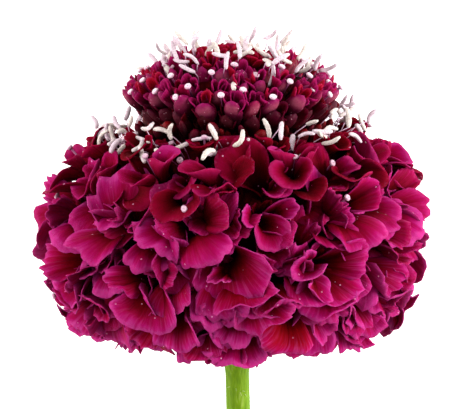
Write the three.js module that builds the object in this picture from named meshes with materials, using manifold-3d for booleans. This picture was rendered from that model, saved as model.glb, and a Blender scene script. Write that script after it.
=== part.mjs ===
// A double scabiosa (pincushion flower), cut and laid on its side.
//
// A ruff of wide, ruffled florets grows round a spindle-shaped receptacle. Above it, past a narrow
// neck, a domed crown of small club-shaped florets is still in bud. White anthers ring the neck and
// stand on the crown, and round stigmas look out of the florets. Narrow green bracts sit under the
// ruff, on top of a bare green stalk with a slanted cut. The stalk's end and the ruff's lowest
// petals, which the weight presses flat, carry the flower.
//
// Millimetres. The bloom is worked out in its own frame: +Y along its axis from stalk to crown, +Z
// up and away from the table, +X to the right, with its origin at the heart, where the ruff is
// widest. The last lines lay it down: +Z is up and the table is z = 0.

import * as THREE from "three";
import { mergeVertices } from "three/addons/utils/BufferGeometryUtils.js";
import Module from "manifold-3d";

const wasm = await Module();
wasm.setup();

const RAD = Math.PI / 180;
const V = (x, y, z) => new THREE.Vector3(x, y, z);

// ---- Driving dimensions ----
const TILT = 10 * RAD; // the axis rises this much towards the crown, because the ruff props it up
const HEART_HEIGHT = 30.6; // the heart above the table
const PETAL_THICKNESS = 0.6;
const PRESS = 0.2; // how deep the table cuts into a petal that lies on it, which makes it flat
const PIECE_GAP = 0.35; // between stalk, ruff and crown, where they touch

const STALK_RADIUS = 2.05;
const STALK_LENGTH = 166; // from the heart to the cut
const STALK_BOW = 1.6; // sideways, halfway along
const STALK_CUT = 25 * RAD; // how far the cut slants
const STALK_TOP = -10; // where the receptacle ends, under the ruff
const STALK_NECK = -24; // from here up the stalk widens into the receptacle
const BRACTS = 12;
const BRACT_LENGTH = 11;
const BRACT_HALF_WIDTH = 1.15;
const BRACT_HALF_THICKNESS = 0.5;
const BRACT_ROOT = { radius: 2.6, height: -12 };
const BRACT_FALL = 18; // degrees below the horizontal

const RUFF_LEAN = 4 * RAD; // the ruff's upper rows sit a little askew, higher on the +X side
const LEAN_END = -16; // how far down the lean fades away
const RUFF_BOTTOM = STALK_TOP + PIECE_GAP;
const RUFF_TOP = 18;
// The ruff's rows of florets, from the neck down. radius and height are where the rim of a floret
// stands, rise is its axis above the horizontal, length runs from throat to petal tip.
const RUFF_ROWS = [
  { count: 11, radius: 16.8, height: 18.0, rise: 60, length: 4.4, rings: 1 },
  { count: 12, radius: 21.6, height: 17.6, rise: 50, length: 6.0, rings: 1 },
  { count: 12, radius: 26.5, height: 13.6, rise: 32, length: 8.5, rings: 1 },
  { count: 12, radius: 31.0, height: 7.0, rise: 14, length: 11.5, rings: 2 },
  { count: 11, radius: 32.0, height: -2.0, rise: -6, length: 12.5, rings: 2 },
  { count: 10, radius: 30.0, height: -9.5, rise: -24, length: 13.0, rings: 2 },
  { count: 8, radius: 24.0, height: -15.5, rise: -48, length: 11.0, rings: 2 },
];
// How far a floret strays from its place in its row, to each side: a share of the row's step,
// millimetres up or down, and degrees of its axis up or down and sideways.
const RUFF_STRAY = { step: 0.2, height: 0.9, rise: 7, aside: 9 };
const RUFF_TUBE = 7.5; // from a floret's throat down into the receptacle
const RUFF_ANTHERS = 16;
const RUFF_ANTHER = { radius: 11.5, height: 12, rise: 42, length: 9.5 }; // root, axis and filament
const RUFF_SEED = 14;

const CROWN_BOTTOM = RUFF_TOP + PIECE_GAP;
const CROWN_RADIUS = 18.7;
const CROWN_MIDDLE = 25.3; // where the crown is widest
const CROWN_RISE = 7.8; // from there to its top
const CROWN_PEAK = 1.25; // 1 makes the crown's top an ellipse, and more makes it more pointed
const CROWN_DROP = 5; // from its middle to its underside, were it as round below
const CROWN_ROOT = 13; // its florets point away from here
const CROWN_START = 8 * RAD; // the first ring of them, as an angle down from its top
const CROWN_OPEN = 33 * RAD; // down to here from its top they are open, and below they are buds
const CROWN_END = 142 * RAD; // the lowest of them
const CROWN_PITCH = 4.5; // between its florets
const BUD_LENGTH = 7.4;
const BUD_RADIUS = 1.7;
const OPEN_LENGTH = 3.3; // of an open floret, from throat to petal tip
const CROWN_ANTHERS = 22;
const CROWN_ANTHER_LENGTH = 5.5;
const CROWN_STIGMAS = 10;
const CROWN_STIGMA_FALL = 68; // degrees down from the top
const CROWN_STIGMA_LENGTH = 4.6;
const CROWN_SUNK = 4; // how deep anthers and stigmas are rooted under the crown's surface
const CROWN_SEED = 5;

// ---- Random draws: the same each run ----
function seeded(seed) {
  let state = seed;
  return () => {
    state = (state * 48271) % 2147483647;
    return state / 2147483647;
  };
}
// A draw between -1 and 1.
const sway = (draw) => 2 * draw() - 1;

// ---- Solids ----
function solid(geometry) {
  const bare = new THREE.BufferGeometry()
    .setAttribute("position", geometry.getAttribute("position"))
    .setIndex(geometry.index);
  const merged = mergeVertices(bare, 1e-4);
  return new wasm.Manifold(
    new wasm.Mesh({
      numProp: 3,
      vertProperties: merged.attributes.position.array,
      triVerts: new Uint32Array(merged.index.array),
    }),
  );
}

// Joins solids, takes others away, fills what is then sealed in and drops what hangs loose.
function fuse(solids, removed) {
  const bodies = wasm.Manifold.union(solids).subtract(wasm.Manifold.union(removed)).decompose();
  return bodies.reduce((largest, body) => (body.volume() > largest.volume() ? body : largest));
}

function geometryOf(manifold) {
  const { vertProperties, triVerts } = manifold.getMesh();
  const geometry = new THREE.BufferGeometry()
    .setAttribute("position", new THREE.BufferAttribute(vertProperties, 3))
    .setIndex(new THREE.BufferAttribute(triVerts, 1));
  geometry.computeVertexNormals();
  return geometry;
}

// A body of revolution about the bloom's axis, from [radius, height] pairs going up its outside.
function turned(profile, sides) {
  return new THREE.LatheGeometry(profile.map(([r, y]) => new THREE.Vector2(r, y)), sides);
}

// Moves a geometry that stands on its origin, along +Y, to a root from where it grows in a direction.
function grown(geometry, root, direction, spin = 0) {
  const up = V(0, 1, 0);
  const turn = new THREE.Quaternion().setFromUnitVectors(up, direction);
  turn.multiply(new THREE.Quaternion().setFromAxisAngle(up, spin));
  return geometry.applyMatrix4(new THREE.Matrix4().compose(root, turn, V(1, 1, 1)));
}

// ---- The table under the bloom ----
const UP = V(0, Math.sin(TILT), Math.cos(TILT));
const heightAboveTable = (p) => HEART_HEIGHT + p.dot(UP);

// A petal that would reach below the table lies down on it and spreads away from the bloom's middle.
function pressed(p) {
  const sole = PETAL_THICKNESS / 2 - PRESS;
  const sunk = sole - heightAboveTable(p);
  if (sunk <= 0) return p;
  const outward = V(p.x, p.y, 0).normalize();
  return p.addScaledVector(UP, sunk).addScaledVector(outward, 0.6 * sunk);
}

// What lies below the table.
function underTable() {
  const block = new THREE.BoxGeometry(100, 300, 20).translate(0, -80, -10);
  return solid(block.translate(0, 0, -HEART_HEIGHT).rotateX(-TILT));
}

// ---- A corolla: a lobed funnel, from its throat out to the rim of its petals ----
// The petals round the funnel, from the outermost, which is the largest: the middle and the width of
// each in degrees, its length as a share of the longest, and the angle that it flares to.
const PETALS = [
  { middle: 0, width: 96, size: 1.0, flare: 92 },
  { middle: 84, width: 72, size: 0.88, flare: 80 },
  { middle: 150, width: 60, size: 0.46, flare: 52 },
  { middle: 210, width: 60, size: 0.46, flare: 52 },
  { middle: 276, width: 72, size: 0.88, flare: 80 },
];
const SHOULDER = 0.3; // of a petal's width, to each side of its middle
const THROAT_ANGLE = 9 * RAD; // between the funnel's wall and its axis, at the throat
const FINE = 7; // florets shorter than this have one point to a petal
const NOTCH = 0.66; // how far out the petals part, as a share of their length

// The draws that set one floret's petals apart from the next one's.
function drawPetals(draw) {
  return PETALS.map(({ middle, width, size, flare }) => ({
    middle: middle * RAD,
    width: width * RAD,
    size: size * (1 + 0.08 * sway(draw)),
    flare: (flare + 12 * sway(draw)) * RAD,
    curl: sway(draw) < 0 ? -1 : 1,
  }));
}

// The funnel's wall is an arc that bends outwards. Where it is after length along, for a petal that
// is length long in all and ends at the angle flare.
function wall(along, length, flare) {
  const bend = (flare - THROAT_ANGLE) / length;
  const angle = THROAT_ANGLE + bend * along;
  return {
    out: (Math.cos(THROAT_ANGLE) - Math.cos(angle)) / bend,
    up: (Math.sin(angle) - Math.sin(THROAT_ANGLE)) / bend,
    angle,
  };
}

// A point of the funnel in the floret's own frame: +X towards the largest petal, +Z along its axis.
function corollaPoint(floret, column, ring) {
  const { reach, flare, turn, ruffle } = column;
  const share = ring / floret.rings;
  const at = wall(share * reach * floret.length, floret.length, flare);
  const lift = ruffle * share * share;
  const radius = floret.throat + at.out - lift * Math.cos(at.angle);
  return V(radius * Math.cos(turn), radius * Math.sin(turn), at.up + lift * Math.sin(at.angle));
}

// The columns of a corolla, petal by petal: the notch before each petal, then its shoulders or tip.
function columnsOf(floret) {
  const { petals, roll, ruffle, length } = floret;
  return petals.flatMap((petal, k) => {
    const before = petals[(k + petals.length - 1) % petals.length];
    const turn = roll + petal.middle;
    const notch = {
      turn: turn - petal.width / 2,
      reach: (NOTCH * (petal.size + before.size)) / 2,
      flare: (petal.flare + before.flare) / 2,
      ruffle: 0,
    };
    const steps = petal.size < 0.7 || length < FINE ? [0] : [-SHOULDER, SHOULDER];
    const edge = steps.map((step) => ({
      turn: turn + step * petal.width,
      reach: petal.size,
      flare: petal.flare,
      ruffle: ruffle * petal.curl * Math.sign(step),
    }));
    return [notch, ...edge];
  });
}

// The corolla as a closed shell. The faces on its two sides are split into triangles alike.
function corolla(floret) {
  const columns = columnsOf(floret);
  const n = columns.length;
  const throat = V(0, 0, 0).applyMatrix4(floret.place);
  const root = V(0, 0, -floret.tube).applyMatrix4(floret.place);
  const rings = [];
  for (let j = 1; j <= floret.rings; j++)
    rings.push(columns.map((c) => pressed(corollaPoint(floret, c, j).applyMatrix4(floret.place))));

  const at = (j, i) => (j < 0 ? throat : rings[j][(i + n) % n]);
  const half = PETAL_THICKNESS / 2;
  const positions = [throat.toArray(), root.toArray()];
  rings.forEach((ring, j) =>
    ring.forEach((p, i) => {
      const across = at(j, i + 1).clone().sub(at(j, i - 1));
      const outwards = (j + 1 < rings.length ? at(j + 1, i) : p).clone().sub(at(j - 1, i));
      const normal = outwards.cross(across).normalize().multiplyScalar(half);
      positions.push(p.clone().add(normal).toArray(), p.clone().sub(normal).toArray());
    }),
  );
  const front = (j, i) => 2 + 2 * (j * n + ((i + n) % n));
  const back = (j, i) => front(j, i) + 1;
  const triangles = [];
  const rim = rings.length - 1;
  for (let i = 0; i < n; i++) {
    triangles.push([0, front(0, i), front(0, i + 1)], [1, back(0, i + 1), back(0, i)]);
    for (let j = 0; j < rim; j++) {
      triangles.push([front(j, i), front(j + 1, i), front(j + 1, i + 1)]);
      triangles.push([front(j, i), front(j + 1, i + 1), front(j, i + 1)]);
      triangles.push([back(j, i), back(j + 1, i + 1), back(j + 1, i)]);
      triangles.push([back(j, i), back(j, i + 1), back(j + 1, i + 1)]);
    }
    triangles.push([front(rim, i), back(rim, i), back(rim, i + 1)]);
    triangles.push([front(rim, i), back(rim, i + 1), front(rim, i + 1)]);
  }
  return new THREE.BufferGeometry()
    .setAttribute("position", new THREE.Float32BufferAttribute(positions.flat(), 3))
    .setIndex(triangles.flat());
}

// The frame of a floret at an azimuth round the bloom: X is its outer side, Z its own axis.
function floretFrame(azimuth, rise, rim) {
  const radial = V(Math.sin(azimuth), 0, Math.cos(azimuth));
  const axis = radial.clone().multiplyScalar(Math.cos(rise)).add(V(0, Math.sin(rise), 0));
  const outer = radial.clone().multiplyScalar(Math.sin(rise)).add(V(0, -Math.cos(rise), 0));
  const side = axis.clone().cross(outer);
  return new THREE.Matrix4().makeBasis(outer, side, axis).setPosition(rim);
}

// A floret whose rim stands at a place in the bloom, with its throat and tube below.
function floretAt(azimuth, rise, rim, size, draw) {
  const { length, rings, tube } = size;
  const frame = floretFrame(azimuth, rise, rim);
  const depth = 0.92 * wall(length, length, 84 * RAD).up;
  return {
    rings,
    tube,
    length: length * (1 + 0.09 * sway(draw)),
    roll: 14 * RAD * sway(draw),
    petals: drawPetals(draw),
    throat: 0.02 * length,
    ruffle: 0.055 * length,
    place: frame.multiply(new THREE.Matrix4().makeTranslation(0, 0, -depth)),
  };
}

// ---- Anthers and stigmas ----
const ANTHER_LENGTH = 2.5;
const MOST_BEND = 50 * RAD; // of an anther, away from its filament
const STICK_RADIUS = 0.42;
const KNOB_RADIUS = 0.75;
const KNOB_HALF_HEIGHT = 0.6;

// A filament that ends in an anther, which bends away from it by an angle, towards a side.
function anther(root, direction, length, bend, side) {
  const tip = V(Math.sin(bend) * Math.cos(side), Math.cos(bend), Math.sin(bend) * Math.sin(side));
  const joint = V(0, length, 0);
  const path = new THREE.CatmullRomCurve3([V(0, 0, 0), joint, tip.multiplyScalar(ANTHER_LENGTH).add(joint)]);
  const section = new THREE.Shape(
    [0, 1, 2].map((k) => {
      const angle = (k * 2 * Math.PI) / 3;
      return new THREE.Vector2(Math.cos(angle), Math.sin(angle)).multiplyScalar(STICK_RADIUS);
    }),
  );
  const stick = new THREE.ExtrudeGeometry(section, { steps: 3, extrudePath: path });
  return solid(grown(stick, root, direction));
}

// A thin style that ends in a round knob.
function stigma(root, direction, length) {
  const neckAt = length - KNOB_HALF_HEIGHT;
  const tipAt = length + KNOB_HALF_HEIGHT;
  const profile = [[0, 0], [STICK_RADIUS, neckAt], [KNOB_RADIUS, length], [0, tipAt]];
  return solid(grown(turned(profile, 4), root, direction));
}

// ---- The ruff ----
const ruffCore = turned(
  [[0, RUFF_BOTTOM], [9, RUFF_BOTTOM], [17, -8], [21.5, -3], [22.5, 4.5], [19.5, 11.5], [14, 16],
    [9, RUFF_TOP], [0, RUFF_TOP]],
  14,
);

function ruffFlorets() {
  const draw = seeded(RUFF_SEED);
  return RUFF_ROWS.flatMap((row, r) =>
    Array.from({ length: row.count }, (_, i) => {
      const step = i + (r % 2) / 2 + RUFF_STRAY.step * sway(draw);
      const azimuth = (step / row.count) * 2 * Math.PI;
      const height = row.height + RUFF_STRAY.height * sway(draw);
      const rise = (row.rise + RUFF_STRAY.rise * sway(draw)) * RAD;
      const aside = RUFF_STRAY.aside * RAD * sway(draw);
      const rim = V(row.radius * Math.sin(azimuth), height, row.radius * Math.cos(azimuth));
      const floret = floretAt(azimuth + aside, rise, rim, { ...row, tube: RUFF_TUBE }, draw);
      const lean = RUFF_LEAN * Math.min(1, Math.max(0, 1 - row.height / LEAN_END));
      floret.place.premultiply(new THREE.Matrix4().makeRotationZ(lean));
      return floret;
    }),
  );
}

// Anthers stand in a ring round the neck.
function ruffAnthers() {
  const draw = seeded(RUFF_SEED + 1);
  return Array.from({ length: RUFF_ANTHERS }, (_, i) => {
    const azimuth = ((i + 0.35 * sway(draw)) / RUFF_ANTHERS) * 2 * Math.PI;
    const radius = RUFF_ANTHER.radius + 1.8 * sway(draw);
    const rise = (RUFF_ANTHER.rise + 10 * sway(draw)) * RAD;
    const radial = V(Math.sin(azimuth), 0, Math.cos(azimuth));
    const direction = radial.clone().multiplyScalar(Math.cos(rise)).add(V(0, Math.sin(rise), 0));
    const root = radial.multiplyScalar(radius).setY(RUFF_ANTHER.height);
    const length = RUFF_ANTHER.length + 1.2 * sway(draw);
    return anther(root, direction, length, MOST_BEND * draw(), 2 * Math.PI * draw());
  });
}

// Stigmas look out of some of the larger florets.
function ruffStigmas(florets) {
  return florets
    .filter((floret, i) => floret.length > 5 && i % 4 === 1)
    .map(({ place, length }) => {
      const root = V(0, 0, -1.5).applyMatrix4(place);
      return stigma(root, V(0, 0, 1).transformDirection(place), 1.5 + 0.62 * length);
    });
}

// The room that the stalk's receptacle and bracts take under the ruff, and the crown's over it.
const roomUnderRuff = turned(
  [[0, -60], [2.6, -60], [2.6, STALK_NECK], [6, -22], [14.2, -19], [14.2, -11.2], [8.4, RUFF_BOTTOM],
    [0, RUFF_BOTTOM]],
  14,
);
const neck = (gap) => [[0, RUFF_TOP + gap], [9.5, RUFF_TOP + gap], [16, 19.3 + gap], [24, 22.5 + gap]];
const roomOverRuff = turned([...neck(0), [24, 45], [0, 45]], 14);
const roomUnderCrown = turned([[0, 0], [24, 0], ...neck(PIECE_GAP).reverse()], 14);

const florets = ruffFlorets();
const corollas = florets.map((floret) => solid(corolla(floret)));
const ruff = fuse(
  [solid(ruffCore), ...corollas, ...ruffAnthers(), ...ruffStigmas(florets)],
  [solid(roomUnderRuff), solid(roomOverRuff), underTable()],
);

// ---- The crown ----
const crownCore = turned(
  [[0, CROWN_BOTTOM], [9.5, CROWN_BOTTOM], [13, 21], [15.2, 24.2], [12.4, 27.4], [6.6, 29.7], [0, 30.6]],
  12,
);

// Where the crown's surface is, at an angle down from its top, and the way its florets point there.
function crownSpot(fall, azimuth) {
  const above = fall < Math.PI / 2;
  const radius = CROWN_RADIUS * Math.sin(fall) ** (above ? CROWN_PEAK : 1);
  const rise = above ? CROWN_RISE * Math.cos(fall) ** CROWN_PEAK : CROWN_DROP * Math.cos(fall);
  const height = CROWN_MIDDLE + rise;
  const at = V(radius * Math.sin(azimuth), height, radius * Math.cos(azimuth));
  return { at, radius, direction: at.clone().sub(V(0, CROWN_ROOT, 0)).normalize() };
}

// The crown's florets in rings from its top down, each ring a pitch below the last.
function crownSpots(draw) {
  const spots = [];
  let fall = CROWN_START;
  while (fall < CROWN_END) {
    const { radius } = crownSpot(fall, 0);
    const count = Math.round((2 * Math.PI * radius) / CROWN_PITCH);
    const turn = draw();
    for (let i = 0; i < count; i++) {
      const azimuth = ((i + turn + 0.2 * sway(draw)) / count) * 2 * Math.PI;
      spots.push({ fall, ...crownSpot(fall + 3 * RAD * sway(draw), azimuth), azimuth });
    }
    fall += CROWN_PITCH / Math.hypot(CROWN_RADIUS * Math.cos(fall), CROWN_RISE * Math.sin(fall));
  }
  return spots;
}

// A floret in bud: a club on a thin tube, with its petals closed over the top.
function bud({ at, direction }, draw) {
  const length = BUD_LENGTH + 0.3 * sway(draw);
  const radius = BUD_RADIUS + 0.12 * sway(draw);
  const club = turned([[0, 0], [radius, length - 1], [0, length]], 5);
  const root = at.clone().addScaledVector(direction, -length + 0.5 * sway(draw));
  return solid(grown(club, root, direction, 2 * Math.PI * draw()));
}

function openFloret({ at, direction, azimuth }, draw) {
  const rise = Math.asin(direction.y);
  const size = { length: OPEN_LENGTH, rings: 1, tube: 5 };
  return solid(corolla(floretAt(azimuth, rise, at, size, draw)));
}

function crownFlorets() {
  const draw = seeded(CROWN_SEED);
  return crownSpots(draw).map((spot) => (spot.fall < CROWN_OPEN ? openFloret : bud)(spot, draw));
}

// Anthers stand up all over the crown's top, and stigmas among the buds round its side.
function crownAnthers() {
  const draw = seeded(CROWN_SEED + 1);
  return Array.from({ length: CROWN_ANTHERS }, (_, i) => {
    const azimuth = i * 137.5 * RAD;
    const fall = (12 + 50 * Math.sqrt((i + 0.5) / CROWN_ANTHERS)) * RAD;
    const { at, direction } = crownSpot(fall, azimuth);
    const aim = direction.clone().add(V(0.3 * sway(draw), 0.3 + 0.3 * sway(draw), 0.3 * sway(draw)));
    const root = at.clone().addScaledVector(direction, -CROWN_SUNK);
    const length = CROWN_ANTHER_LENGTH + 0.9 * sway(draw);
    return anther(root, aim.normalize(), length, MOST_BEND * draw(), 2 * Math.PI * draw());
  });
}

function crownStigmas() {
  const draw = seeded(CROWN_SEED + 2);
  return Array.from({ length: CROWN_STIGMAS }, (_, i) => {
    const azimuth = ((i + 0.35 * sway(draw)) / CROWN_STIGMAS) * 2 * Math.PI;
    const fall = (CROWN_STIGMA_FALL + 12 * sway(draw)) * RAD;
    const { at, direction } = crownSpot(fall, azimuth);
    const root = at.clone().addScaledVector(direction, -CROWN_SUNK);
    return stigma(root, direction, CROWN_STIGMA_LENGTH);
  });
}

const crown = fuse(
  [solid(crownCore), ...crownFlorets(), ...crownAnthers(), ...crownStigmas()],
  [solid(roomUnderCrown)],
);

// ---- The stalk, with its receptacle and bracts ----
function stalkBody() {
  const end = -STALK_LENGTH - 4;
  const bare = Array.from({ length: 7 }, (_, i) => [STALK_RADIUS, end + (i / 6) * (STALK_NECK - end)]);
  const receptacle = [[3.1, -18], [5.6, -14.5], [7.6, -12], [7.4, STALK_TOP], [0, STALK_TOP]];
  const body = turned([[0, end], ...bare, ...receptacle], 10);
  const position = body.getAttribute("position");
  for (let i = 0; i < position.count; i++) {
    const along = Math.min(1, -position.getY(i) / STALK_LENGTH);
    position.setX(i, position.getX(i) + STALK_BOW * Math.sin(Math.PI * Math.max(0, along)));
  }
  return body;
}

// A narrow blade that grows outwards from the receptacle.
function bract(i, draw) {
  const azimuth = ((i + 0.2 * sway(draw)) / BRACTS) * 2 * Math.PI;
  const fall = (BRACT_FALL + 14 * sway(draw)) * RAD;
  const radial = V(Math.sin(azimuth), 0, Math.cos(azimuth));
  const blade = new THREE.OctahedronGeometry(1);
  blade.scale(BRACT_HALF_WIDTH, BRACT_LENGTH / 2, BRACT_HALF_THICKNESS);
  blade.translate(0, BRACT_LENGTH / 2, 0);
  const direction = V(0, -Math.sin(fall), 0).addScaledVector(radial, Math.cos(fall));
  const root = radial.clone().multiplyScalar(BRACT_ROOT.radius).setY(BRACT_ROOT.height);
  return solid(grown(blade, root, direction, azimuth));
}

const bractDraw = seeded(3);
const offcut = new THREE.BoxGeometry(12, 12, 12).translate(0, -6, 0).rotateX(STALK_CUT);
const stalk = fuse(
  [solid(stalkBody()), ...Array.from({ length: BRACTS }, (_, i) => bract(i, bractDraw))],
  [solid(offcut.translate(0, -STALK_LENGTH, 0)), underTable()],
);

// ---- The flower, laid down ----
const PIECES = {
  stalk: { body: stalk, color: 0x6f9a2a, roughness: 0.55 },
  ruff_florets: { body: ruff, color: 0xa0105c, roughness: 0.6 },
  crown_florets: { body: crown, color: 0x6d0d38, roughness: 0.6 },
};
const flower = new THREE.Group();
flower.rotation.x = TILT;
flower.position.z = HEART_HEIGHT;
for (const [name, { body, color, roughness }] of Object.entries(PIECES)) {
  const material = new THREE.MeshStandardMaterial({ color, roughness, metalness: 0 });
  const mesh = new THREE.Mesh(geometryOf(body), material);
  mesh.name = name;
  flower.add(mesh);
}

// The origin is on the table, under the middle of the whole flower.
const middle = new THREE.Box3().setFromObject(flower).getCenter(V(0, 0, 0));
flower.position.sub(middle.setZ(0));

export default flower;
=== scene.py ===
import math

import bpy
import numpy as np
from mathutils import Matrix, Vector


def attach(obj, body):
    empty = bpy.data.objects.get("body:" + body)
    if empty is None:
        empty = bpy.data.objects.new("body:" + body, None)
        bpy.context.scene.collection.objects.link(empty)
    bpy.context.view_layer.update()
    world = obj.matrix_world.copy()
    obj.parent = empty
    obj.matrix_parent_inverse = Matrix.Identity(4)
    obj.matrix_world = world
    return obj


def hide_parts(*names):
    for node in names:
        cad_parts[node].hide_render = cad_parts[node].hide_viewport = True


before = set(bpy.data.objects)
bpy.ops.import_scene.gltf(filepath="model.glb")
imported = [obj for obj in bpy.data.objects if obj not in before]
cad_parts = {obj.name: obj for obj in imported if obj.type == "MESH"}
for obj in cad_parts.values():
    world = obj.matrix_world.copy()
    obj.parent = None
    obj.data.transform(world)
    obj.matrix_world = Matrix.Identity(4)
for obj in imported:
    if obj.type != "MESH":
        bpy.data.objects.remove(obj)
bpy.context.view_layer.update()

# ---- Stalk ----
# A bare green stem, slightly bowed, ribbed lengthwise and thinly haired, with a slanted cut at its
# end. It grows in one piece with the receptacle that swells under the ruff and carries it.
STALK_RADIUS = 2.05
STALK_LENGTH = 166  # from the flower's heart to the cut
STALK_BOW = 1.6
STALK_CUT = math.radians(25)
STALK_RIBS = 9
STALK_SIDES = 45
PLAIN_STEM = (-165, -25, 57)  # from the cut up to the swelling, and how many rings it has
SWELLING = [(-24, 2.05), (-21, 2.4), (-18, 3.1), (-14.5, 5.6), (-12, 7.6), (-10.4, 7.5), (-10, 6.6)]
CUT_FACE = {0.25: 0, 0.5: 0, 0.75: 0, 0.93: 0, 1: 0.25}  # how far in its rings are, by their share
SLANT_FADES = 8  # over this length the rings above the cut come square to the stalk
STALK_GREEN = "72960e"
STALK_DARK = "62860a"
STALK_PALE = "98a850"
STALK_PITH = "dfe6b4"

# The flower is worked out in millimetres in its own frame: +Y along its axis from stalk to crown, +Z
# up and away from the table, with the origin at its heart. Then it is laid down, in metres.
TILT = math.radians(10)
HEART = np.array([-0.7438, 63.8726, 30.6])
LIE = np.array([[1, 0, 0], [0, math.cos(TILT), -math.sin(TILT)], [0, math.sin(TILT), math.cos(TILT)]])
UP = LIE[2]


def laid(points):
    return (points @ LIE.T + HEART) / 1000


def seeded(state):
    """Draws between 0 and 1, the same each run."""
    multiplier, modulus = 48271, 2 ** 31 - 1

    def draw():
        nonlocal state
        state = state * multiplier % modulus
        return state / modulus

    return draw


def sway(draw, reach=1):
    return reach * (2 * draw() - 1)


def unit(vector):
    return vector / np.linalg.norm(vector)


def around(sides):
    """The angles at which a ring's points stand."""
    return np.arange(sides) * 2 * math.pi / sides


def closed(rings, sides):
    """The faces of a body built of rings: its walls, and a lid at either end."""
    ring, k = np.meshgrid(np.arange(rings - 1) * sides, np.arange(sides), indexing="ij")
    after = (k + 1) % sides
    walls = np.stack([ring + k, ring + after, ring + sides + after, ring + sides + k], -1)
    lid = np.arange(sides)[None]
    return [walls.reshape(-1, 4), lid[:, ::-1], lid + (rings - 1) * sides]


class Growth:
    """Gathers the sheets, rods and knobs of one piece. Its marks are numbers on its points."""

    MARKS = ("along", "across", "face", "tint", "shade", "age")
    ASKEW = (0.31, 0.9, 0.29)  # a direction that no rod starts in

    def __init__(self):
        self.points, self.faces, self.marks, self.count = [], [], {m: [] for m in self.MARKS}, 0

    def add(self, points, faces, **marks):
        """A mark is one number, or one for each point, or a grid that a sheet's back repeats."""
        self.points.append(points.reshape(-1, 3))
        size = len(self.points[-1])
        for group in faces:
            self.faces += (np.asarray(group) + self.count).tolist()
        for mark in self.MARKS:
            self.marks[mark].append(np.resize(marks.get(mark, 0), size))
        self.count += size

    def rod(self, path, radii, sides, flat=1, reach=1, **marks):
        """A rod along a path, closed at both ends. flat is its thickness as a share of its width,
        and reach is what its mark along comes to at its tip."""
        path = np.asarray(path, float)
        tangents = np.gradient(path, axis=0)
        tangents /= np.linalg.norm(tangents, axis=1, keepdims=True)
        normal = np.cross(tangents[0], self.ASKEW)
        turns = around(sides)
        rings = []
        for at, tangent, radius in zip(path, tangents, radii):
            normal = unit(normal - tangent * (normal @ tangent))
            side = np.cross(tangent, normal)
            ring = np.outer(np.cos(turns), normal) + np.outer(np.sin(turns), side) * flat
            rings.append(at + radius * ring)
        rings.extend([path[:1], path[-1:]])
        count = len(path)
        k, after, last = np.arange(sides), (np.arange(sides) + 1) % sides, (count - 1) * sides
        foot = np.stack([after, k, 0 * k + count * sides], -1)
        tip = np.stack([last + k, last + after, 0 * k + count * sides + 1], -1)
        along = np.append(np.repeat(np.linspace(0, 1, count), sides), (0, 1))
        faces = [closed(count, sides)[0], foot, tip]
        self.add(np.concatenate(rings), faces, along=along * reach, **marks)

    def grow(self, name, node, finish):
        mesh = bpy.data.meshes.new(name)
        points = laid(np.concatenate(self.points))
        points[:, 2] = np.maximum(points[:, 2], 0)
        mesh.from_pydata(points.tolist(), [], self.faces, shade_flat=False)
        for mark in self.MARKS:
            values = np.concatenate(self.marks[mark]).astype(np.float32)
            mesh.attributes.new(mark, "FLOAT", "POINT").data.foreach_set("value", values)
        mesh.materials.append(finish.material)
        grown = bpy.data.objects.new(name, mesh)
        bpy.context.scene.collection.objects.link(grown)
        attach(grown, "root")
        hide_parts(node)


class Signal:
    """A socket of a finish. Arithmetic on it adds Math nodes."""

    def __init__(self, finish, socket):
        self.finish, self.socket = finish, socket

    def math(self, operation, *values):
        settings = {"operation": operation}
        return self.finish.node("ShaderNodeMath", settings, dict(enumerate(values)))

    def __add__(self, other):
        return self.math("ADD", self, other)

    def __sub__(self, other):
        return self.math("SUBTRACT", self, other)

    def __rsub__(self, other):
        return self.math("SUBTRACT", other, self)

    def __mul__(self, other):
        return self.math("MULTIPLY", self, other)

    def __pow__(self, other):
        return self.math("POWER", self, other)

    def __lt__(self, other):
        return self.math("LESS_THAN", self, other)

    __radd__, __rmul__ = __add__, __mul__


def colour(code):
    """A linear colour from its hexadecimal code."""
    parts = [int(code[k:k + 2], 16) / 255 for k in (0, 2, 4)]
    return (*(c / 12.92 if c < 0.04045 else ((c + 0.055) / 1.055) ** 2.4 for c in parts), 1)


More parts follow.
